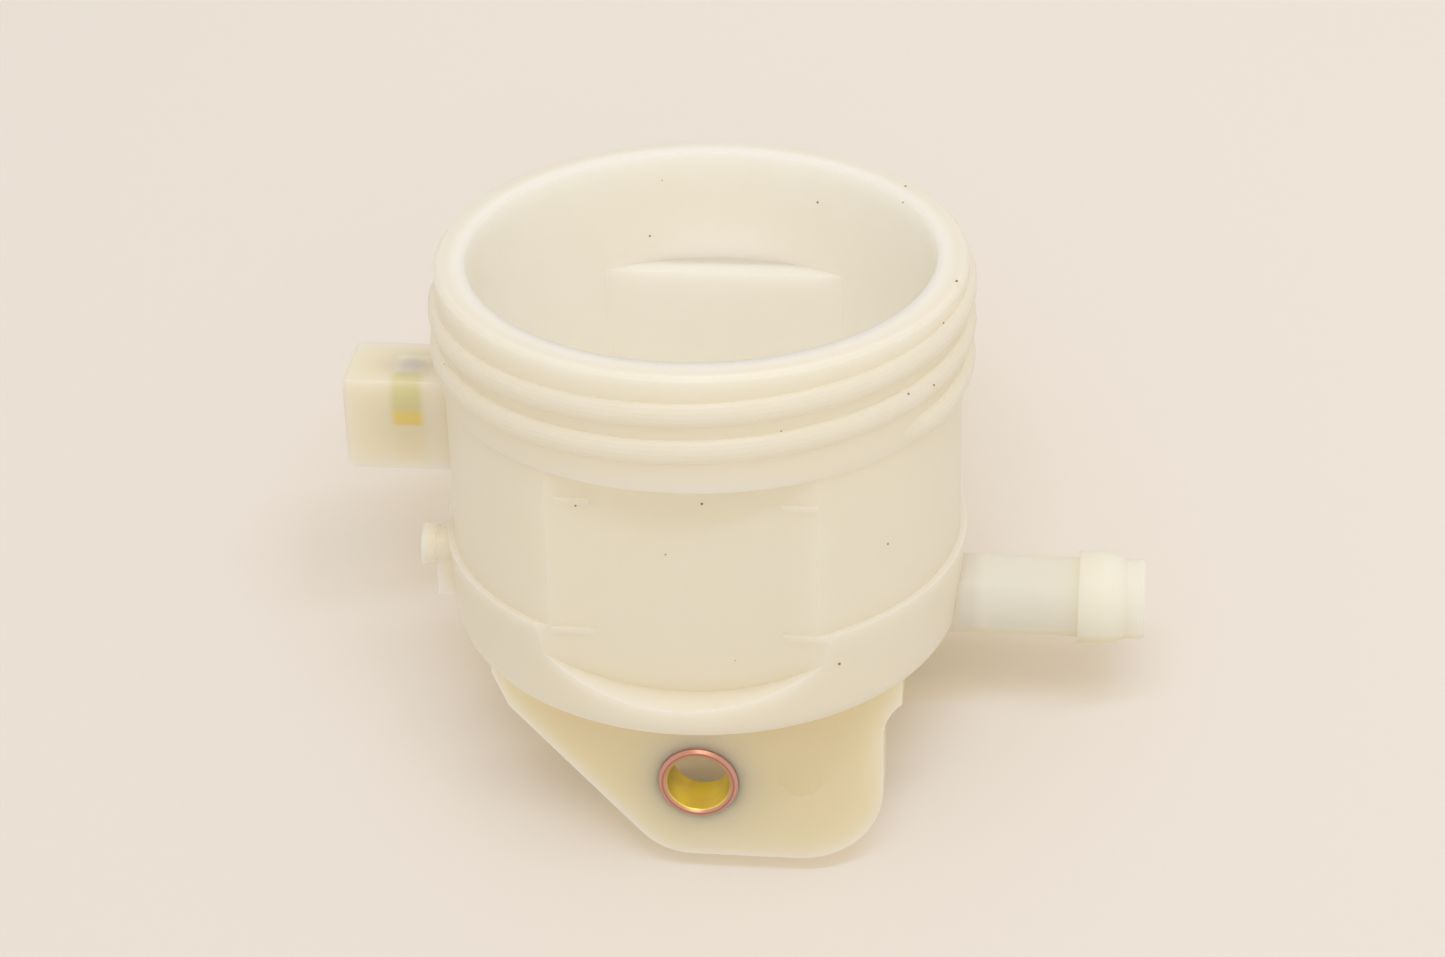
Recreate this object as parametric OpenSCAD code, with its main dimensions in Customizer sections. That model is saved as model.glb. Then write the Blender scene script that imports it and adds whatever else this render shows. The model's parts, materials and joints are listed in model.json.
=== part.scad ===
// Translucent moulded fluid tank: threaded neck, hose nipple, hanging bracket plate with a
// steel collar, and a side boss with a threaded insert.
// The origin is the centre of the collar's bore on its seating face, and +Z runs up the neck.
// The nipple points along +X and the bracket plate is at the front, on -Y. Sizes are in mm.

/* [Body] */
// Distance from the collar's seating face to the tank's upright axis
axis_y = 9.2; // [8.8:0.1:10.5]
// Height of the tank's underside above the collar's axis
under_z = 15; // [14.6:0.1:17]
// Height of the lower body, from the underside to the ledge
lower_h = 12.4; // [11.4:0.1:14]
// Height of the upper body, from the ledge to the neck
upper_h = 20; // [19.6:0.1:24]
// Height of the neck
neck_h = 13.8; // [13.8:0.1:16]
// Outer radius of the upper body
body_r = 29.2; // [28.8:0.1:30]
// How far the lower body stands out at the ledge
step_out = 0.8; // [0.4:0.1:1.2]
// How much the lower body narrows towards its underside
lower_draft = 0.8; // [0.2:0.1:1]
// How far the neck stands out over the upper body
neck_out = 0.5; // [0.2:0.1:0.8]
// Thickness of the side wall
wall = 3; // [2.4:0.1:3.4]
// Thickness of the floor
floor_t = 3.1; // [2.6:0.1:3.6]
// Radius of the outer bottom edge
base_fillet = 3; // [2.4:0.1:3.2]
// Radius of the inner bottom edge
floor_fillet = 2.8; // [1.6:0.1:3.2]
// Bevel of the rim's outer edge
rim_edge = 0.5; // [0.2:0.1:0.6]

/* [Sight flats] */
// Depth of the flats below the upper body's radius
flat_depth = 4; // [3.4:0.1:4.4]
// Thickness of the wall behind a flat
flat_wall = 3.1; // [2.4:0.1:3.4]
// Distance of a flat's top below the neck
flat_gap = 0.3; // [0.2:0.1:1.6]
// Radius of the arch that ends a flat below
arch_r = 30; // [28:0.5:36]
// Height of the arch's lowest point above the underside
arch_low = 4.5; // [3.8:0.1:5.5]
// Length of a level bar
level_bar_l = 5; // [3:0.1:5.2]
// Distance of the level bars from their middle
level_bar_in = 10.3; // [8:0.1:10.4]
// Sideways shift of the level bars
level_bar_shift = 0.6; // [0:0.1:0.6]
// Height of a level bar
level_bar_t = 0.8; // [0.5:0.1:1.2]
// How far a level bar stands out
level_bar_out = 0.35; // [0.2:0.05:0.6]
// Height of the upper level bars above the ledge
high_level = 15.6; // [12:0.1:16.4]
// Length of an upper level bar
high_bar_l = 4; // [3:0.1:4]

/* [Neck thread] */
// Rise of the thread in one turn
thread_pitch = 4.4; // [4.2:0.1:4.5]
// How far the ridge stands out
thread_out = 0.9; // [0.5:0.1:1.1]
// Width of the ridge
thread_w = 3; // [2.2:0.1:3]
// Height of the ridge above the neck's lower edge, where it first meets the gap
thread_low = 2.8; // [2.5:0.05:3]
// Width of the gap in the ridge at the back
thread_gap = 4.5; // [3:0.1:7]
// Angle over which a ridge runs out
runout = 12; // [8:1:20]
// Angle of ridge below the first gap
thread_lead = 131; // [100:1:140]
// Angle of ridge above the last gap
thread_tail = 70; // [50:1:80]

/* [Hose nipple] */
// Outer radius of the pipe
pipe_r = 4.6; // [4.2:0.1:4.8]
// Radius of the bore
outlet_r = 2.8; // [2.2:0.1:3]
// Distance of the nipple's end from the tank's axis
nipple_end = 50.7; // [48:0.1:56]
// Distance of the barb's shoulder from the nipple's end
shoulder_back = 7.7; // [7:0.1:9]
// Radius of the barb
barb_r = 5.35; // [5.1:0.05:5.8]
// Length of the barb's straight part
barb_flat = 2.8; // [2:0.1:3.4]
// Length of the plain tip
tip_l = 2.2; // [1.6:0.1:2.8]
// Distance from the tank's axis to the start of the drain groove in the floor
sump_x = 17; // [12:0.5:20]

/* [Bracket plate] */
// Thickness of the plate
plate_t = 5.5; // [5:0.1:5.5]
// Depth of the plate's lower edge below the collar's axis
plate_drop = 10.05; // [9.5:0.05:12]
// Distance of the plate's right edge from the collar's axis
plate_right = 21.4; // [20:0.1:22]
// Radius of the lower right corner
right_corner = 10; // [6:0.1:10]
// Where the sloping edge would meet the lower edge
foot_x = -4.36; // [-6:0.01:-4]
// Angle of the sloping edge
plate_slope = 48.7; // [46:0.1:50]
// Radius of the corner below the sloping edge
left_corner = 8; // [5:0.1:9]
// Height at which the sloping edge turns steeper
turn_z = 9.7; // [8.5:0.1:11]
// Angle of the sloping edge above its turn
turn_slope = 68; // [60:1:76]
// Half width of the plate where it meets the tank
plate_half = 23.5; // [23:0.1:24.2]
// Radius of the flare at the top of the right edge
flare_r = 6; // [5:0.1:6.5]
// Height at which the flare begins
flare_z = 7.5; // [6:0.1:8]
// How far the plate reaches into the floor
root_sink = 0.9; // [0.6:0.1:1.5]
// Sideways position of the round mould mark
mark_x = 11.8; // [11:0.1:14]
// Height of the round mould mark
mark_z = 1.2; // [0:0.1:3]
// Radius of the round mould mark
mark_r = 2.5; // [1.5:0.1:3]

/* [Collar] */
// Outer radius of the collar
collar_r = 4.65; // [4.3:0.05:5.2]
// Radius of the collar's bore
collar_bore = 3.65; // [3.1:0.05:3.7]
// Length of the collar
collar_l = 6; // [5.9:0.1:6.4]
// How far the collar stands out behind the plate
collar_proud = 0.2; // [0.1:0.05:0.3]
// Bevel of the collar's edges
collar_edge = 0.3; // [0.1:0.05:0.4]

/* [Side boss] */
// Distance of the boss's outer face from the tank's axis
boss_out = 40.8; // [39:0.1:43]
// Width of the boss
boss_w = 9.3; // [8.4:0.1:11]
// Height of the boss
boss_h = 11.2; // [9.6:0.1:12]
// Distance of the boss's top below the neck
boss_drop = 1.4; // [1:0.1:2]
// Radius of the boss's outer edges
boss_corner = 0.8; // [0.4:0.1:1.2]

/* [Insert] */
// Distance of the insert from the tank's axis
insert_x = 33.4; // [32.8:0.1:35]
// Outer radius of the insert
insert_r = 1.7; // [1.55:0.05:2.2]
// Length of the insert
insert_l = 6.2; // [6:0.1:7]
// Thickness of the boss above the insert
insert_skin = 1; // [0.8:0.1:1.6]
// Radius of the insert's threaded hole
screw_r = 1.05; // [0.9:0.05:1.2]
// Depth of the insert's threaded hole
screw_l = 5.2; // [4.4:0.1:5.4]
// Radius of the clearance hole below the insert
lead_r = 1.4; // [1.3:0.05:1.5]

/* [Locating peg] */
// Distance of the rib's outer end from the tank's axis
rib_out = 30.8; // [30.4:0.1:33]
// Width of the rib
rib_w = 3.4; // [2.6:0.1:4]
// Height of the rib's lower edge above the underside
rib_low = 4; // [3.4:0.1:4.6]
// Height of the rib
rib_h = 6.5; // [6:0.1:7]
// Length of the peg's round head
peg_l = 1.6; // [1.2:0.1:3]
// Radius of the peg's round head
peg_r = 2.4; // [2:0.1:2.6]
// How far the head stands out over the peg's neck
peg_step = 0.45; // [0.2:0.05:0.8]
// Height of the peg's axis above the underside
peg_up = 9.8; // [9.1:0.1:10]
// Distance of the rib and peg in front of the tank's axis, out of the way of the screw above
peg_front = 4.6; // [3.6:0.1:6]

/* [Hidden] */
$fn = 96;
// Clearance between the resin and the metal that it holds
seat_gap = 0.02;
// How far a cut runs past the surface that it opens
cut = 1;
// Depth to which a raised shape is sunk into its wall
sink = 0.5;
mark_depth = 0.15;
// Angle between the ridge's cross-sections, and round points in each
ridge_step = 5;
ridge_points = 7;
// Least distance of the ridge from the neck's lower edge and from the rim's bevel
ridge_margin = 0.1;
// Depth of the ridge's ends below the neck's surface
end_depth = 0.3;
base_r = body_r + step_out - lower_draft;
step_r = body_r + step_out;
neck_r = body_r + neck_out;
cavity_r = body_r - wall;
flat_y = body_r - flat_depth;
flat_in = flat_y - flat_wall;
floor_z = under_z + floor_t;
step_z = under_z + lower_h;
neck_z = step_z + upper_h;
rim_z = neck_z + neck_h;
flat_top = neck_z - flat_gap;
boss_top = neck_z - boss_drop;
boss_low = boss_top - boss_h;
insert_top = boss_top - insert_skin;
resin = [0.88, 0.84, 0.74];
plated = [0.78, 0.67, 0.38];

// Half section of the tank's outside
module outer_section() {
    edge = base_r - base_fillet;
    polygon([[0, under_z], [edge, under_z], [edge, under_z + base_fillet],
             [base_r, under_z + base_fillet], [step_r, step_z], [body_r, step_z],
             [body_r, neck_z], [neck_r, neck_z], [neck_r, rim_z - rim_edge],
             [neck_r - rim_edge, rim_z], [0, rim_z]]);
    translate([edge, under_z + base_fillet]) circle(base_fillet);
}

// Half section of the lower cavity, with its round bottom edge
module core_section() {
    edge = cavity_r - floor_fillet;
    translate([0, floor_z]) square([edge, neck_z - floor_z + cut]);
    translate([0, floor_z + floor_fillet])
        square([cavity_r, neck_z - floor_z - floor_fillet + cut]);
    translate([edge, floor_z + floor_fillet]) circle(floor_fillet);
}

// Cavity: round in the neck, with two inner flats below it
module core() {
    translate([0, 0, neck_z]) cylinder(r = cavity_r, h = neck_h + cut);
    intersection() {
        rotate_extrude() core_section();
        translate([-body_r, -flat_in, floor_z - cut])
            cube([2 * body_r, 2 * flat_in, neck_z - floor_z + 2 * cut]);
    }
}

// Material taken off in front of and behind the two sight flats
module sight_cut() {
    for (side = [0, 180])
        rotate([0, 0, side]) intersection() {
            translate([-step_r, -2 * step_r, under_z])
                cube([2 * step_r, 2 * step_r - flat_y, flat_top - under_z]);
            translate([0, -flat_y + cut, under_z + arch_low + arch_r])
                rotate([90, 0, 0]) cylinder(r = arch_r, h = 2 * step_r);
        }
}

// Pair of raised level bars on each flat
module level_bars(z, length) {
    for (side = [0, 180], x = [level_bar_shift - level_bar_in - length, level_bar_shift + level_bar_in])
        rotate([0, 0, side]) translate([x, -flat_y - level_bar_out, z])
            cube([length, level_bar_out + sink, level_bar_t]);
}

// Cross-section of the round ridge, sunk into the neck by a depth
function ridge(depth) = concat(
    [[-sink - depth, -thread_w / 2]],
    [for (k = [1:ridge_points])
        let (t = 180 * k / (ridge_points + 1))
        [thread_out * sin(t) - depth, -thread_w / 2 * cos(t)]],
    [[-sink - depth, thread_w / 2]]);

// Depth of the ridge at angle a: none along its length, and out of sight at its two ends
function ridge_depth(a, from, to) =
    (thread_out + end_depth) * (1 - min(1, (a - from) / runout, (to - a) / runout));

// Length of ridge between two angles, kept between the neck's lower edge and the rim's bevel
module ridge_run(from, to) {
    steps = ceil((to - from) / ridge_step);
    ring = ridge_points + 2;
    last = ring * steps;
    low = neck_z + ridge_margin;
    high = rim_z - rim_edge - ridge_margin;
    points = [for (i = [0:steps])
        let (a = from + (to - from) * i / steps)
        let (z = max(low, min(high, neck_z + thread_low + thread_pitch * (a - 90) / 360)))
        for (p = ridge(ridge_depth(a, from, to)))
            [(neck_r + p[0]) * cos(a), (neck_r + p[0]) * sin(a), max(low, min(high, z + p[1]))]];
    sides = [for (i = [0:steps - 1], j = [0:ring - 1])
        let (n = (j + 1) % ring)
        [ring * i + j, ring * i + n, ring * (i + 1) + n, ring * (i + 1) + j]];
    start = [for (j = [ring - 1:-1:0]) j];
    end = [for (j = [0:ring - 1]) last + j];
    polyhedron(points, concat(sides, [start, end]), convexity = 4);
}

// Right-hand cap thread, interrupted at the back of the neck
module cap_thread() {
    g = thread_gap / neck_r * 90 / PI;
    ridge_run(90 - thread_lead, 90 - g);
    ridge_run(90 + g, 450 - g);
    ridge_run(450 + g, 810 - g);
    ridge_run(810 + g, 810 + thread_tail);
}

// Half section of the nipple, from the start of the drain groove to its end
module nipple_section() {
    shoulder = nipple_end - shoulder_back;
    nose_start = shoulder + barb_flat;
    nose = shoulder_back - barb_flat - tip_l;
    rise = barb_r - pipe_r;
    nose_r = (nose * nose + rise * rise) / (2 * rise);
    polygon([[0, sump_x], [pipe_r, sump_x], [pipe_r, nipple_end - 0.3],
             [pipe_r - 0.3, nipple_end], [0, nipple_end]]);
    translate([0, shoulder]) square([barb_r, barb_flat]);
    intersection() {
        translate([barb_r - nose_r, nose_start]) circle(nose_r);
        translate([0, nose_start]) square([barb_r, nose]);
    }
}

// Hose nipple, with the round bulge of the drain groove under the floor
module nipple() {
    translate([0, 0, floor_z]) rotate([0, 90, 0]) rotate_extrude() nipple_section();
    translate([sump_x, 0, floor_z]) sphere(pipe_r);
}

// Bore of the nipple and the drain groove that leads to it
module outlet() {
    translate([sump_x, 0, floor_z]) rotate([0, 90, 0])
        cylinder(r = outlet_r, h = nipple_end - sump_x + cut);
    translate([sump_x, 0, floor_z]) sphere(outlet_r);
}

// Outline of the bracket plate as seen from the front, no wider than where it meets the tank
module plate_outline() {
    top = under_z + root_sink;
    low = -plate_drop;
    left_x = foot_x + left_corner * tan(plate_slope / 2);
    left_z = low + left_corner;
    turn_x = foot_x - (turn_z - low) / tan(plate_slope);
    right_x = plate_right - right_corner;
    right_z = low + right_corner;
    intersection() {
        translate([-plate_half, low]) square([2 * plate_half, top - low]);
        union() {
            polygon([[left_x, low], [right_x, low], [right_x, right_z], [plate_right, right_z],
                     [plate_right, top], [turn_x - (top - turn_z) / tan(turn_slope), top],
                     [turn_x, turn_z],
                     [left_x - left_corner * sin(plate_slope), left_z - left_corner * cos(plate_slope)],
                     [left_x, left_z]]);
            translate([left_x, left_z]) circle(left_corner);
            translate([right_x, right_z]) circle(right_corner);
            difference() {
                translate([plate_right - sink, flare_z]) square([flare_r + sink, top - flare_z]);
                translate([plate_right + flare_r, flare_z]) circle(flare_r);
            }
        }
    }
}

// Bracket plate that hangs below the front of the tank
module bracket_plate() {
    translate([0, -collar_proud, 0]) rotate([90, 0, 0]) linear_extrude(plate_t) plate_outline();
}

// Box-shaped boss on the left, with its outer edges rounded
module side_boss() {
    reach = boss_out - cavity_r;
    intersection() {
        translate([0, 0, boss_low]) linear_extrude(boss_h) {
            translate([-boss_out + boss_corner, -boss_w / 2]) square([reach - boss_corner, boss_w]);
            translate([-boss_out, -boss_w / 2 + boss_corner])
                square([reach, boss_w - 2 * boss_corner]);
            for (y = [-1, 1])
                translate([-boss_out + boss_corner, y * (boss_w / 2 - boss_corner)])
                    circle(boss_corner);
        }
        translate([0, boss_w, 0]) rotate([90, 0, 0]) linear_extrude(2 * boss_w) {
            translate([-boss_out + boss_corner, boss_low]) square([reach - boss_corner, boss_h]);
            translate([-boss_out, boss_low + boss_corner])
                square([reach, boss_h - 2 * boss_corner]);
            for (z = [boss_low + boss_corner, boss_top - boss_corner])
                translate([-boss_out + boss_corner, z]) circle(boss_corner);
        }
    }
}

// Room for the insert, with the clearance hole that opens below it
module insert_room() {
    translate([-insert_x, 0, insert_top - insert_l - seat_gap])
        cylinder(r = insert_r + seat_gap, h = insert_l + 2 * seat_gap);
    translate([-insert_x, 0, boss_low - cut])
        cylinder(r = lead_r, h = insert_top - insert_l - boss_low + 2 * cut);
}

// Rib on the left and a round peg, with its head beyond the rib and its neck in the wall
module locating_peg() translate([0, -peg_front, 0]) {
    reach = rib_out - base_r + wall / 2;
    translate([-rib_out, -rib_w / 2, under_z + rib_low]) cube([reach, rib_w, rib_h]);
    translate([-rib_out - peg_l, 0, under_z + peg_up]) rotate([0, 90, 0]) {
        cylinder(r = peg_r, h = peg_l);
        cylinder(r = peg_r - peg_step, h = peg_l + reach);
    }
}

// Tank in one moulding with its neck, nipple, bracket plate, side boss and peg
module tank_body() color(resin) difference() {
    union() {
        translate([0, axis_y, 0]) {
            difference() {
                rotate_extrude() outer_section();
                sight_cut();
            }
            level_bars(step_z - level_bar_t, level_bar_l);
            level_bars(step_z + high_level, high_bar_l);
            cap_thread();
            side_boss();
            nipple();
            locating_peg();
        }
        bracket_plate();
    }
    translate([0, axis_y, 0]) {
        core();
        outlet();
        insert_room();
    }
    translate([0, cut, 0]) rotate([90, 0, 0])
        cylinder(r = collar_r + seat_gap, h = collar_l + 2 * cut);
    translate([mark_x, -collar_proud - plate_t + mark_depth, mark_z]) rotate([90, 0, 0])
        cylinder(r = mark_r, h = cut);
}

// Plated steel collar that takes the clamping force of the bracket's bolt
module bracket_collar() color(plated) rotate([90, 0, 0]) rotate_extrude() {
    polygon([[collar_bore, collar_edge], [collar_bore + collar_edge, 0],
             [collar_r - collar_edge, 0], [collar_r, collar_edge],
             [collar_r, collar_l - collar_edge], [collar_r - collar_edge, collar_l],
             [collar_bore + collar_edge, collar_l], [collar_bore, collar_l - collar_edge]]);
}

// Blind threaded insert, moulded into the side boss and open below
module side_insert() color(plated)
    translate([-insert_x, axis_y, insert_top - insert_l]) difference() {
        cylinder(r = insert_r, h = insert_l);
        translate([0, 0, -cut]) cylinder(r = screw_r, h = screw_l + cut);
    }

tank_body();
bracket_collar();
side_insert();
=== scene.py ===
"""Looks and stage of a translucent fluid tank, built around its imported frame."""

import json
import math

import bpy
from bpy.props import FloatProperty, FloatVectorProperty, IntProperty, PointerProperty
from mathutils import Matrix, Vector


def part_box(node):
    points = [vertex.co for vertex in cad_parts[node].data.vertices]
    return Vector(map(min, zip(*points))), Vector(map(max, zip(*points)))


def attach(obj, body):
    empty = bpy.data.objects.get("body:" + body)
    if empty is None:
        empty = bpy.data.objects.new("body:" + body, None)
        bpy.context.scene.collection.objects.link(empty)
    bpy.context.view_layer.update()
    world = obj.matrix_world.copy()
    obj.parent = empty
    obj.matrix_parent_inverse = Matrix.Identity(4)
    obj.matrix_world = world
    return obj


bl_info = {
    "name": "Translucent fluid tank",
    "version": (1, 0, 0),
    "blender": (4, 5, 0),
    "location": "View3D > Sidebar > Fluid tank",
    "description": "Resin, plated steel and stage of a fluid tank with a bracket plate",
    "category": "Object",
}

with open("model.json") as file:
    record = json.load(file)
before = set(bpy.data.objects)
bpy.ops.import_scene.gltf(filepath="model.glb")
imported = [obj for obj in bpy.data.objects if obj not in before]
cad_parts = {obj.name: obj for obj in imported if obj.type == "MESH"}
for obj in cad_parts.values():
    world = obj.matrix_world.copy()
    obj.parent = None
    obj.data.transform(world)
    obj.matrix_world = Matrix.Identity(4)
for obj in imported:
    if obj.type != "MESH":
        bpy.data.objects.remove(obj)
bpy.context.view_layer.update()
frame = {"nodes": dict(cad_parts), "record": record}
record = frame["record"]

MM = 0.001
BODY_LOW, BODY_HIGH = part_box("tank_body")
COLLAR_LOW, COLLAR_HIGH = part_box("bracket_collar")


def mount(name):
    """Mount of the record by its name."""
    return next(m for m in record["mounts"] if m["name"] == name)


# Places on the tank: its upright axis, the insert's place and the bore's radius read from the record; its
# cavity, boss, pipe and neck given in millimetres
TANK_AXIS_Y = mount("rim_face")["pos_m"][1]
INSERT_X = mount("side_screw")["pos_m"][0]
BORE_R = mount("bracket_bore")["dims"]["r_mm"] * MM
WALL_MIDDLE = 27.7 * MM
FLAT_MIDDLE = 23.6 * MM
NECK_Z = 47.2 * MM
FLOOR_Z = 17 * MM
BOSS_X = -31 * MM
PIPE_X = 30.5 * MM
BOSS_Z = 34.8 * MM


def length(default, name, description, **limits):
    """Length property in metres."""
    return FloatProperty(name=name, description=description, default=default, subtype="DISTANCE",
                         unit="LENGTH", precision=5, **limits)


def colour(default, name, description):
    """Colour property in linear light, given as screen values from 0 to 255."""
    linear = [((c / 255 + 0.055) / 1.055) ** 2.4 if c > 10 else c / 255 / 12.92 for c in default]
    return FloatVectorProperty(name=name, description=description, default=linear,
                               subtype="COLOR", size=3, min=0.0, max=1.0)


class TankResinSettings(bpy.types.PropertyGroup):
    """Finish of the moulded resin, and the painted light and shade laid on it."""

    # Painted light: the inside colour paints the cavity's faces paler than the outside, for light shining
    # through the walls into the tank.
    inside: colour((246, 242, 231), "Inside", "Colour of the resin inside the tank")
    # Painted light: the pipe colour paints the thin pipe paler all round, for light shining through it and
    # lighting its underside.
    pipe: colour((250, 242, 218), "Pipe", "Colour of the resin in the thin pipe")
    outside: colour((228, 221, 205), "Outside", "Colour of the resin outside")
    thick: colour((228, 216, 186), "Thick", "Colour of the resin where it is thick")
    depth: length(0.01, "Depth", "How far light travels in the resin", min=0.0005, max=0.02)
    cloud_size: length(0.02, "Cloud size", "Width of the soft clouds in the resin", min=0.002)
    glow: FloatProperty(name="Glow", description="Share of the light that each face lets through",
                        default=0.85, min=0.0, max=1.0, subtype="FACTOR")
    shine: colour((250, 244, 225), "Shine", "Colour of the light that comes through a face")
    skin: colour((250, 248, 214), "Skin", "Colour of the boss's thin top over the insert")
    # Painted reflection: green and amber paint the insert's lit faces as seen through the boss.
    green: colour((214, 208, 162), "Green", "Colour of the boss where the insert shows through")
    amber: colour((230, 206, 128), "Amber", "Colour of the boss at the insert's lower end")


class TankPlatingSettings(bpy.types.PropertyGroup):
    """Finish of the plated steel, and the painted light and shade laid on it."""

    # Partly the film's own tint, partly painted light: the gold paints the bore's lower wall, which faces
    # the light, brighter than the green of its sides.
    gold: colour((255, 234, 92), "Gold", "Colour of the plating low in the bore")
    green: colour((214, 200, 84), "Green", "Colour of the plating at the bore's sides")
    pink: colour((216, 160, 146), "Pink", "Colour of the plating on the end faces")
    # Painted shade: the darker colour in the fine groove stands for the shade that falls in it.
    shaded_groove: colour((180, 122, 106), "Groove", "Colour of the fine groove in the end faces")
    cloud_size: length(0.003, "Cloud size", "Width of the rainbow clouds", min=0.0005)


class TankSpeckSettings(bpy.types.PropertyGroup):
    """Dust specks on the resin."""

    brown: colour((150, 122, 84), "Brown", "Colour of the specks")
    radius: length(0.00013, "Radius", "Radius of a middling speck", min=0.00005)
    density: FloatProperty(name="Density", description="Specks on a square metre of resin",
                           default=2500.0, min=0.0)
    seed: IntProperty(name="Seed", description="Choice of places for the specks", default=4)


class TankStageSettings(bpy.types.PropertyGroup):
    """Floor, lamps and camera."""

    paper: colour((232, 226, 219), "Paper", "Colour of the floor and of the world")
    lean: FloatProperty(name="Lean", description="How far the tank leans back on the floor",
                        default=math.radians(34.5), subtype="ANGLE")
    lamp_height: length(0.7, "Lamp height", "Height of the strip lamp over the floor", min=0.2)
    lamp_right: length(0.1, "Lamp right", "Distance of the strip lamp to the right")
    lamp_back: length(0.042, "Lamp back", "Distance of the strip lamp to the back")
    lamp_size: length(0.45, "Lamp length", "Length of the strip lamp", min=0.05)
    lamp_width: length(0.05, "Lamp width", "Width of the strip lamp", min=0.01)
    lamp_watt: FloatProperty(name="Lamp power", description="Power of the strip lamp",
                             default=1.9, min=0.0, unit="POWER")
    world_light: FloatProperty(name="World light", description="Strength of the light all round",
                               default=0.86, min=0.0)


def clouds_group():
    """Shader group: soft clouds in the object's own space, as a mask and as a fine height."""
    name = "soft_clouds"
    if name in bpy.data.node_groups:
        return bpy.data.node_groups[name]
    group = bpy.data.node_groups.new(name, "ShaderNodeTree")
    for socket, side in (("Size", "INPUT"), ("Grain", "INPUT"), ("Mask", "OUTPUT"), ("Height", "OUTPUT")):
        group.interface.new_socket(socket, in_out=side, socket_type="NodeSocketFloat")
    nodes, links = group.nodes, group.links
    source, sink = nodes.new("NodeGroupInput"), nodes.new("NodeGroupOutput")
    where = nodes.new("ShaderNodeTexCoord")
    inverse = nodes.new("ShaderNodeMath")
    inverse.operation = "DIVIDE"
    inverse.inputs[0].default_value = 1.0
    links.new(source.outputs["Size"], inverse.inputs[1])
    cloud, grain = nodes.new("ShaderNodeTexNoise"), nodes.new("ShaderNodeTexNoise")
    cloud.inputs["Detail"].default_value = 3.0
    grain.inputs["Detail"].default_value = 5.0
    links.new(where.outputs["Object"], cloud.inputs["Vector"])
    links.new(where.outputs["Object"], grain.inputs["Vector"])
    links.new(inverse.outputs[0], cloud.inputs["Scale"])
    links.new(source.outputs["Grain"], grain.inputs["Scale"])
    spread = nodes.new("ShaderNodeMapRange")
    spread.interpolation_type = "SMOOTHSTEP"
    spread.inputs["From Min"].default_value = 0.35
    spread.inputs["From Max"].default_value = 0.65
    links.new(cloud.outputs["Fac"], spread.inputs["Value"])
    links.new(spread.outputs["Result"], sink.inputs["Mask"])
    links.new(grain.outputs["Fac"], sink.inputs["Height"])
    return group


class Wiring:
    """A new material with its nodes and links, and short calls for what it uses often."""

    def __init__(self, name):
        self.material = bpy.data.materials.new(name)
        self.material.use_nodes = True
        self.nodes = self.material.node_tree.nodes
        self.links = self.material.node_tree.links
        self.shader = self.nodes["Principled BSDF"]

    def put(self, value, socket):
        """Links a socket, or writes a number or a colour on it."""
        if hasattr(value, "is_linked"):
            self.links.new(value, socket)
        elif socket.type == "RGBA":
            socket.default_value = (*value, 1.0)
        else:
            socket.default_value = value

    def maths(self, operation, *values):
        """One step of arithmetic on sockets or numbers."""
        node = self.nodes.new("ShaderNodeMath")
        node.operation = operation
        for socket, value in zip(node.inputs, values):
            self.put(value, socket)
        return node.outputs[0]

    def mask(self, value, start, end, low=0.0, high=1.0):
        """Smooth step of a value, low at the start and high at the end."""
        node = self.nodes.new("ShaderNodeMapRange")
        node.interpolation_type = "SMOOTHSTEP"
        for name, number in (("From Min", start), ("From Max", end), ("To Min", low), ("To Max", high)):
            node.inputs[name].default_value = number
        self.links.new(value, node.inputs["Value"])
        return node.outputs["Result"]

    def blend(self, factor, first, second):
        """Mix of two colours by a factor."""
        mix = self.nodes.new("ShaderNodeMix")
        mix.data_type = "RGBA"
        self.put(factor, mix.inputs["Factor"])
        for name, value in (("A", first), ("B", second)):
            self.put(value, next(i for i in mix.inputs if i.name == name and i.type == "RGBA"))
        return next(o for o in mix.outputs if o.type == "RGBA")

    def place(self):
        """Place on the object: x, y and z sockets."""
        where = self.nodes.new("ShaderNodeTexCoord")
        split = self.nodes.new("ShaderNodeSeparateXYZ")
        self.links.new(where.outputs["Object"], split.inputs[0])
        return split.outputs

    def radius(self, first, second):
        """Distance from an axis, from the two coordinates across it."""
        squares = [self.maths("MULTIPLY", value, value) for value in (first, second)]
        return self.maths("SQRT", self.maths("ADD", *squares))

    def clouds(self, size, grain):
        """Soft clouds with their own sizes."""
        clouds = self.nodes.new("ShaderNodeGroup")
        clouds.node_tree = clouds_group()
        clouds.inputs["Size"].default_value = size
        clouds.inputs["Grain"].default_value = grain
        return clouds.outputs

    def bump(self, height, depth):
        """Fine relief on the shader."""
        bump = self.nodes.new("ShaderNodeBump")
        bump.inputs["Strength"].default_value = 0.3
        bump.inputs["Distance"].default_value = depth
        self.links.new(height, bump.inputs["Height"])
        self.links.new(bump.outputs["Normal"], self.shader.inputs["Normal"])

    def see_through(self, share, tint):
        """Mixes a clear shader of a tint over the material by a share."""
        clear, mix = self.nodes.new("ShaderNodeBsdfTransparent"), self.nodes.new("ShaderNodeMixShader")
        self.put(tint, clear.inputs["Color"])
        self.put(share, mix.inputs["Fac"])
        self.links.new(self.shader.outputs[0], mix.inputs[1])
        self.links.new(clear.outputs[0], mix.inputs[2])
        self.links.new(mix.outputs[0], self.nodes["Material Output"].inputs["Surface"])


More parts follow.
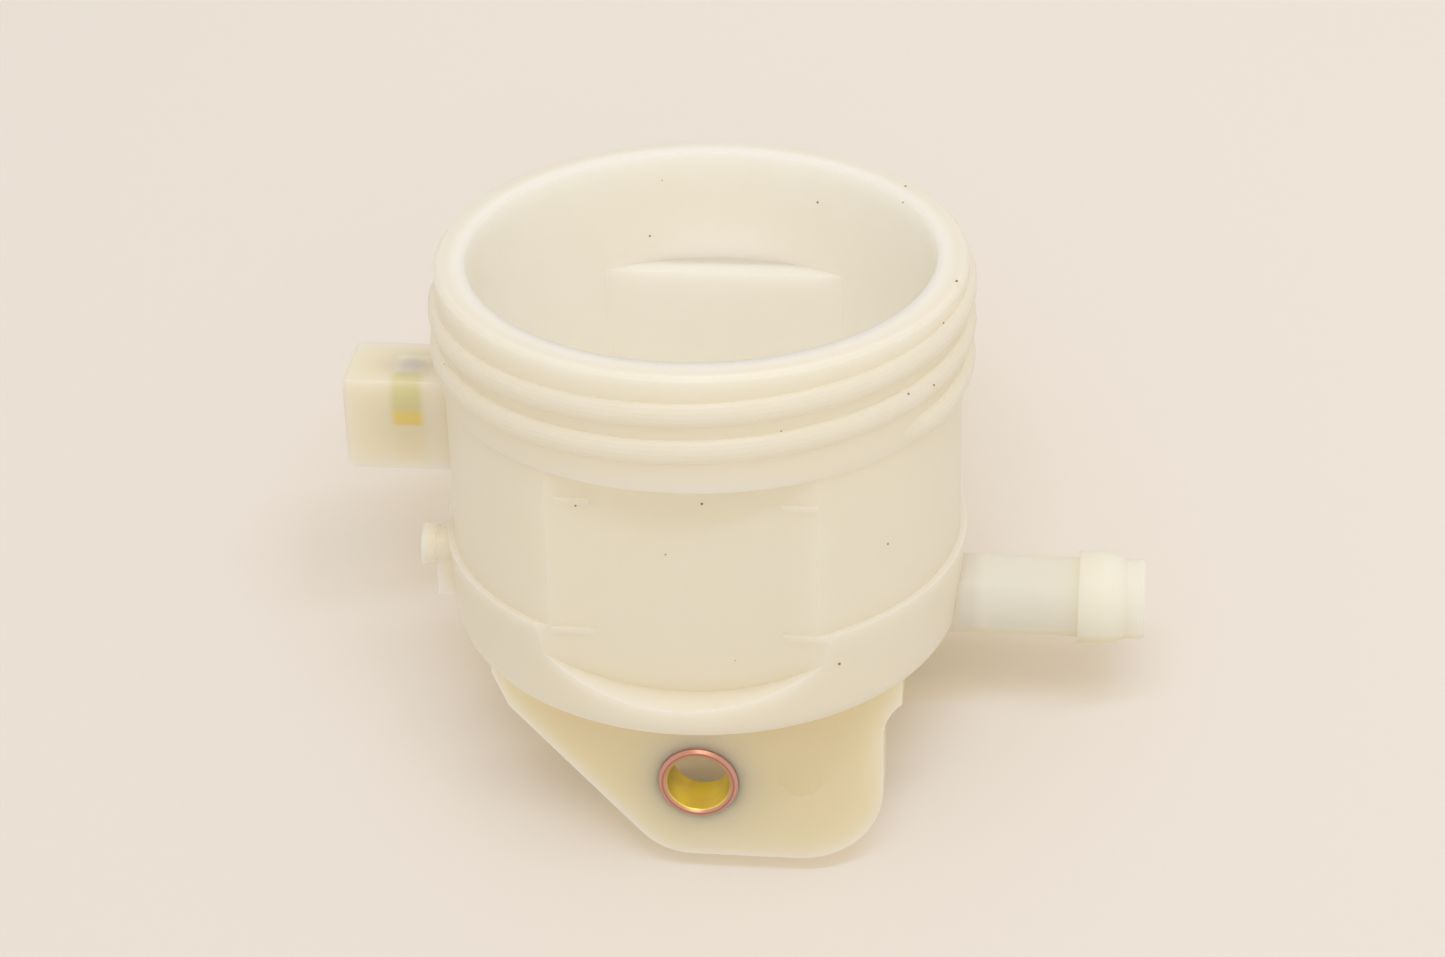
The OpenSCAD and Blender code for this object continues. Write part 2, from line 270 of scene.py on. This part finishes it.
def inside_mask(wires, x, depth, z):
    """Mask of the cavity's faces, where the paler inside colour is painted as light shining through the
    walls: within the middle of the round wall and of the sight flats.
    """
    within = wires.mask(wires.radius(x, depth), WALL_MIDDLE + 0.9 * MM, WALL_MIDDLE - 0.9 * MM)
    below_neck = wires.maths("LESS_THAN", z, NECK_Z)
    past_flat = wires.maths("GREATER_THAN", wires.maths("ABSOLUTE", depth), FLAT_MIDDLE)
    open_flat = wires.maths("SUBTRACT", 1.0, wires.maths("MULTIPLY", below_neck, past_flat))
    above = wires.maths("GREATER_THAN", z, FLOOR_Z)
    return wires.maths("MULTIPLY", wires.maths("MULTIPLY", within, open_flat), above)


def insert_glimpse_and_shadow(wires, settings, x, depth, z, colour_here):
    """Painted glimpse of the insert through the boss, over the colour that is there: green above and amber
    at its lower end as painted reflections of light on the insert's faces, and the thick tone below it as
    its painted shadow in the resin.
    """
    beside = wires.mask(wires.maths("ABSOLUTE", wires.maths("SUBTRACT", x, INSERT_X)), 2.3 * MM, 1.1 * MM)
    over = wires.mask(depth, 2.4 * MM, 1.2 * MM)
    on_side = wires.maths("LESS_THAN", z, BOSS_Z + 10.9 * MM)
    column = wires.maths("MULTIPLY", beside, wires.maths("MAXIMUM", over, on_side))
    column = wires.maths("MULTIPLY", column, wires.maths("GREATER_THAN", z, BOSS_Z))
    upper = wires.mask(z, BOSS_Z + 5.4 * MM, BOSS_Z + 5.9 * MM)
    # Painted reflection: amber low and green higher up, for light caught by the insert's faces.
    metal_reflection = wires.blend(wires.mask(z, BOSS_Z + 6.6 * MM, BOSS_Z + 8.2 * MM), settings.amber, settings.green)
    above = wires.maths("MULTIPLY", wires.mask(z, BOSS_Z + 10.2 * MM, BOSS_Z + 11 * MM),
                        wires.mask(wires.maths("ABSOLUTE", depth), 3.2 * MM, 1.2 * MM))
    metal_reflection = wires.blend(above, metal_reflection, settings.skin)
    # Painted shadow: below the insert the column takes the thick tone, for the insert's shadow in the
    # resin.
    shown = wires.blend(upper, settings.thick, metal_reflection)
    # The painted shadow and reflection grow from 0.6 at the boss's foot to full strength at the insert.
    strength = wires.maths("MULTIPLY", column, wires.mask(z, BOSS_Z, BOSS_Z + 5.9 * MM, 0.6, 1.0))
    return wires.blend(strength, colour_here, shown)


def resin_material(settings):
    """Milky moulded resin, yellower where it is thick, with painted light: paler inside the tank and in the
    thin pipe, and a painted glimpse of the insert with its painted shadow on the boss.
    """
    wires = Wiring("milky_resin")
    shader = wires.shader
    x, y, z = wires.place()[:3]
    depth = wires.maths("SUBTRACT", y, TANK_AXIS_Y)
    clouds = wires.clouds(settings.cloud_size, 900.0)
    # Painted light: the cavity's faces take the paler inside colour, for light shining through the walls.
    wall = wires.blend(inside_mask(wires, x, depth, z), settings.outside, settings.inside)
    # Painted light: the thin pipe takes its paler colour, for light shining through it.
    wall = wires.blend(wires.mask(x, PIPE_X, PIPE_X + 2 * MM), wall, settings.pipe)
    plate = wires.mask(z, 16.5 * MM, 14.5 * MM)
    boss = wires.mask(x, BOSS_X + 1 * MM, BOSS_X - 1 * MM)
    thick = wires.maths("MAXIMUM", plate, wires.maths("MULTIPLY", boss, 0.6))
    thick = wires.maths("MAXIMUM", thick, wires.maths("MULTIPLY", clouds["Mask"], 0.12))
    mixed = wires.blend(thick, wall, settings.thick)
    # Painted reflection and painted shadow of the insert are laid over the resin's colour here.
    wires.put(insert_glimpse_and_shadow(wires, settings, x, depth, z, mixed), shader.inputs["Base Color"])
    wires.put(wires.mask(clouds["Mask"], 0.0, 1.0, 0.44, 0.56), shader.inputs["Roughness"])
    shader.inputs["IOR"].default_value = 1.49
    shader.inputs["Specular IOR Level"].default_value = 0.3
    shader.inputs["Subsurface Weight"].default_value = 1.0
    shader.inputs["Subsurface Radius"].default_value = (1.0, 0.95, 0.85)
    shader.inputs["Subsurface Scale"].default_value = settings.depth
    wires.bump(clouds["Height"], 0.02 * MM)
    path = wires.nodes.new("ShaderNodeLightPath")
    share = wires.maths("MULTIPLY", path.outputs["Is Shadow Ray"], settings.glow)
    wires.see_through(share, settings.shine)
    return wires.material


def plating_material(settings, name):
    """Zinc plating with a rainbow film: pink end faces with painted shade in their fine groove, and a bore
    that is gold below, partly the film's own tint and partly painted light on the lower wall that faces the
    light.
    """
    wires = Wiring(name)
    x, y, z = wires.place()[:3]
    clouds = wires.clouds(settings.cloud_size, 4000.0)
    # Painted light: the bore's lower wall, which faces the light, is painted brighter gold; green and gold
    # are also the film's own tint.
    bore = wires.blend(wires.mask(z, -0.25 * BORE_R, -0.75 * BORE_R), settings.green, settings.gold)
    bore = wires.blend(wires.maths("MULTIPLY", clouds["Mask"], 0.2), bore, settings.pink)
    across = wires.radius(x, z)
    # Painted shade: a thin ring on the end faces is painted darker where the fine groove lies.
    shaded_groove = wires.mask(wires.maths("ABSOLUTE", wires.maths("SUBTRACT", across, BORE_R + 0.5 * MM)),
                        0.16 * MM, 0.08 * MM)
    ring = wires.blend(shaded_groove, settings.pink, settings.shaded_groove)
    face = wires.mask(across, BORE_R + 0.05 * MM, BORE_R + 0.2 * MM)
    wires.put(wires.blend(face, bore, ring), wires.shader.inputs["Base Color"])
    wires.shader.inputs["Metallic"].default_value = 0.4
    wires.shader.inputs["Roughness"].default_value = 0.34
    wires.bump(clouds["Height"], 0.01 * MM)
    return wires.material


def speck_material(settings):
    """Dull brown dust."""
    wires = Wiring("dust")
    wires.put(settings.brown, wires.shader.inputs["Base Color"])
    wires.shader.inputs["Roughness"].default_value = 0.8
    return wires.material


def paper_material(settings):
    """Pale paper that is see-through from behind."""
    wires = Wiring("pale_paper")
    wires.put(settings.paper, wires.shader.inputs["Base Color"])
    wires.shader.inputs["Roughness"].default_value = 0.8
    back = wires.nodes.new("ShaderNodeNewGeometry")
    wires.see_through(back.outputs["Backfacing"], (1.0, 1.0, 1.0))
    return wires.material


def paint(node, material):
    """Gives a CAD node one material."""
    slots = frame["nodes"][node].data.materials
    slots.clear()
    slots.append(material)


class TANK_OT_resin(bpy.types.Operator):
    """Gives the moulded tank its milky resin"""

    bl_idname = "fluid_tank.resin"
    bl_label = "Tank resin"

    def execute(self, context):
        paint("tank_body", resin_material(context.scene.tank_resin))
        return {"FINISHED"}


class TANK_OT_plating(bpy.types.Operator):
    """Plates the collar and the insert"""

    bl_idname = "fluid_tank.plating"
    bl_label = "Collar and insert plating"

    def execute(self, context):
        settings = context.scene.tank_plating
        for node in ("bracket_collar", "side_insert"):
            paint(node, plating_material(settings, node + "_plating"))
        return {"FINISHED"}


def specks_tree(material):
    """Geometry tree: small balls scattered over the faces of the upright body."""
    tree = bpy.data.node_groups.new("scattered_specks", "GeometryNodeTree")
    sockets = (("Geometry", "INPUT", "Geometry"), ("Density", "INPUT", "Float"),
               ("Radius", "INPUT", "Float"), ("Lowest", "INPUT", "Float"),
               ("Leftmost", "INPUT", "Float"), ("Seed", "INPUT", "Int"),
               ("Geometry", "OUTPUT", "Geometry"))
    for name, side, kind in sockets:
        tree.interface.new_socket(name, in_out=side, socket_type="NodeSocket" + kind)
    nodes, links = tree.nodes, tree.links
    source, sink = nodes.new("NodeGroupInput"), nodes.new("NodeGroupOutput")
    where, split = nodes.new("GeometryNodeInputPosition"), nodes.new("ShaderNodeSeparateXYZ")
    links.new(where.outputs[0], split.inputs[0])
    chosen = nodes.new("ShaderNodeMath")
    chosen.operation = "MULTIPLY"
    for socket, axis, limit in ((0, "Z", "Lowest"), (1, "X", "Leftmost")):
        beyond = nodes.new("ShaderNodeMath")
        beyond.operation = "GREATER_THAN"
        links.new(split.outputs[axis], beyond.inputs[0])
        links.new(source.outputs[limit], beyond.inputs[1])
        links.new(beyond.outputs[0], chosen.inputs[socket])
    spread = nodes.new("GeometryNodeDistributePointsOnFaces")
    links.new(source.outputs["Geometry"], spread.inputs["Mesh"])
    links.new(chosen.outputs[0], spread.inputs["Selection"])
    links.new(source.outputs["Density"], spread.inputs["Density"])
    links.new(source.outputs["Seed"], spread.inputs["Seed"])
    ball, put = nodes.new("GeometryNodeMeshIcoSphere"), nodes.new("GeometryNodeInstanceOnPoints")
    links.new(source.outputs["Radius"], ball.inputs["Radius"])
    links.new(spread.outputs["Points"], put.inputs["Points"])
    links.new(ball.outputs["Mesh"], put.inputs["Instance"])
    size = nodes.new("FunctionNodeRandomValue")
    size.data_type = "FLOAT"
    low, high = [i for i in size.inputs if i.type == "VALUE" and i.name in ("Min", "Max")][:2]
    low.default_value, high.default_value = 0.5, 1.5
    links.new(source.outputs["Seed"], size.inputs["Seed"])
    links.new(next(o for o in size.outputs if o.type == "VALUE"), put.inputs["Scale"])
    real, dress = nodes.new("GeometryNodeRealizeInstances"), nodes.new("GeometryNodeSetMaterial")
    dress.inputs["Material"].default_value = material
    links.new(put.outputs["Instances"], real.inputs[0])
    links.new(real.outputs[0], dress.inputs["Geometry"])
    links.new(dress.outputs[0], sink.inputs["Geometry"])
    return tree


class TANK_OT_specks(bpy.types.Operator):
    """Scatters a few dust specks over the tank"""

    bl_idname = "fluid_tank.specks"
    bl_label = "Dust specks"

    def execute(self, context):
        settings = context.scene.tank_specks
        tree = specks_tree(speck_material(settings))
        piece = bpy.data.objects.new("dust_specks", frame["nodes"]["tank_body"].data.copy())
        context.scene.collection.objects.link(piece)
        modifier = piece.modifiers.new("specks", "NODES")
        modifier.node_group = tree
        values = {"Density": settings.density, "Radius": settings.radius, "Lowest": 20 * MM,
                  "Leftmost": BOSS_X, "Seed": settings.seed}
        for item in tree.interface.items_tree:
            if item.in_out == "INPUT" and item.name in values:
                modifier[item.identifier] = values[item.name]
        graph = context.evaluated_depsgraph_get()
        mesh = bpy.data.meshes.new_from_object(piece.evaluated_get(graph))
        piece.modifiers.remove(modifier)
        piece.data = mesh
        if not mesh.vertices:
            raise RuntimeError("no dust speck was placed")
        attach(piece, "root")
        return {"FINISHED"}


def floor_frame(lean):
    """Turn and height of the floor: the tank lies on its plate's foot and on its back edge."""
    normal = Vector((0.0, -math.sin(lean), math.cos(lean)))
    plate_back = COLLAR_HIGH.y - 0.2 * MM
    foot = Vector((0.0, plate_back, BODY_LOW.z))
    across = Vector((1.0, 0.0, 0.0))
    return across, normal.cross(across), normal, normal.dot(foot)


def add_floor(settings):
    """Wide paper floor under the leaning tank."""
    across, along, normal, height = floor_frame(settings.lean)
    half = 1.2
    foot = normal * height
    corners = [foot + across * half * a + along * half * b
               for a, b in ((-1, -1), (1, -1), (1, 1), (-1, 1))]
    mesh = bpy.data.meshes.new("floor")
    mesh.from_pydata(corners, [], [(0, 1, 2, 3)])
    mesh.materials.append(paper_material(settings))
    floor = bpy.data.objects.new("floor", mesh)
    bpy.context.scene.collection.objects.link(floor)


def add_lamp(settings):
    """Long strip lamp over the tank, a little behind it and to the right."""
    across, along, normal, _ = floor_frame(settings.lean)
    tank = Vector((0.0, TANK_AXIS_Y, 0.0))
    spot = (tank + across * settings.lamp_right + along * settings.lamp_back
            + normal * settings.lamp_height)
    data = bpy.data.lights.new("strip_lamp", "AREA")
    data.shape = "RECTANGLE"
    data.size = settings.lamp_size
    data.size_y = settings.lamp_width
    data.energy = settings.lamp_watt
    lamp = bpy.data.objects.new("strip_lamp", data)
    back = (spot - tank - Vector((0.0, 0.0, 25 * MM))).normalized()
    lamp.matrix_world = Matrix.Translation(spot) @ back.to_track_quat("Z", "Y").to_matrix().to_4x4()
    bpy.context.scene.collection.objects.link(lamp)


def add_world(settings):
    """Even pale light all round; the camera and clear or shiny faces see the paper's colour."""
    world = bpy.data.worlds.new("pale_room")
    bpy.context.scene.world = world
    world.use_nodes = True
    nodes, links = world.node_tree.nodes, world.node_tree.links
    light = nodes["Background"]
    light.inputs["Color"].default_value = (*settings.paper, 1.0)
    light.inputs["Strength"].default_value = settings.world_light
    seen = nodes.new("ShaderNodeBackground")
    seen.inputs["Color"].default_value = (*settings.paper, 1.0)
    path, mix = nodes.new("ShaderNodeLightPath"), nodes.new("ShaderNodeMixShader")
    seen_by = path.outputs["Is Camera Ray"]
    for ray in ("Is Glossy Ray", "Is Transmission Ray"):
        either = nodes.new("ShaderNodeMath")
        either.operation = "MAXIMUM"
        links.new(seen_by, either.inputs[0])
        links.new(path.outputs[ray], either.inputs[1])
        seen_by = either.outputs[0]
    links.new(seen_by, mix.inputs["Fac"])
    links.new(light.outputs[0], mix.inputs[1])
    links.new(seen.outputs[0], mix.inputs[2])
    links.new(mix.outputs[0], nodes["World Output"].inputs["Surface"])


def add_camera():
    """Camera of the photograph: 403 mm from the tank, 30 degrees above its base plane."""
    yaw, height, roll = math.radians(6.4), math.radians(29.945), math.radians(-1.16)
    distance, focal_pixels, image_width = 403 * MM, 3507.0, 1445.0
    shift, target_z = 1.853 * MM, 32.1 * MM
    back = Vector((math.sin(yaw) * math.cos(height), -math.cos(yaw) * math.cos(height),
                   math.sin(height)))
    level = Vector((math.cos(yaw), math.sin(yaw), 0.0))
    upright = back.cross(level)
    right = level * math.cos(roll) + upright * math.sin(roll)
    up = upright * math.cos(roll) - level * math.sin(roll)
    spot = Vector((0.0, TANK_AXIS_Y, target_z)) + level * shift + back * distance
    data = bpy.data.cameras.new("camera")
    data.sensor_width = 36.0
    data.lens = focal_pixels / image_width * data.sensor_width
    data.clip_start = 0.01
    camera = bpy.data.objects.new("camera", data)
    turn = Matrix((right, up, back)).transposed().to_4x4()
    camera.matrix_world = Matrix.Translation(spot) @ turn
    bpy.context.scene.collection.objects.link(camera)
    bpy.context.scene.camera = camera


class TANK_OT_stage(bpy.types.Operator):
    """Adds the paper floor, the strip lamp, the world and the camera"""

    bl_idname = "fluid_tank.stage"
    bl_label = "Stage"

    def execute(self, context):
        settings = context.scene.tank_stage
        add_floor(settings)
        add_world(settings)
        add_lamp(settings)
        add_camera()
        context.scene.view_settings.view_transform = "Standard"
        return {"FINISHED"}


class TANK_PT_panel(bpy.types.Panel):
    """Lists the tank's pieces and its stage"""

    bl_idname = "TANK_PT_panel"
    bl_label = "Fluid tank"
    bl_space_type = "VIEW_3D"
    bl_region_type = "UI"
    bl_category = "Fluid tank"

    def draw(self, context):
        layout = self.layout
        for step in STEPS:
            layout.operator(step.bl_idname)
        for name in SETTINGS:
            box = layout.box()
            group = getattr(context.scene, name)
            for prop in group.__annotations__:
                box.prop(group, prop)


SETTINGS = {
    "tank_resin": TankResinSettings,
    "tank_plating": TankPlatingSettings,
    "tank_specks": TankSpeckSettings,
    "tank_stage": TankStageSettings,
}
STEPS = (TANK_OT_resin, TANK_OT_plating, TANK_OT_specks, TANK_OT_stage)
CLASSES = (*SETTINGS.values(), *STEPS, TANK_PT_panel)


def register():
    """Registers the classes and hangs the settings on the scene."""
    for cls in CLASSES:
        bpy.utils.register_class(cls)
    for name, cls in SETTINGS.items():
        setattr(bpy.types.Scene, name, PointerProperty(type=cls))


def unregister():
    """Takes the settings and the classes away again."""
    for name in SETTINGS:
        delattr(bpy.types.Scene, name)
    for cls in reversed(CLASSES):
        bpy.utils.unregister_class(cls)


def main():
    """Registers the add-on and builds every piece."""
    register()
    for step in STEPS:
        getattr(bpy.ops.fluid_tank, step.bl_idname.split(".")[1])()


if __name__ == "__main__":
    main()
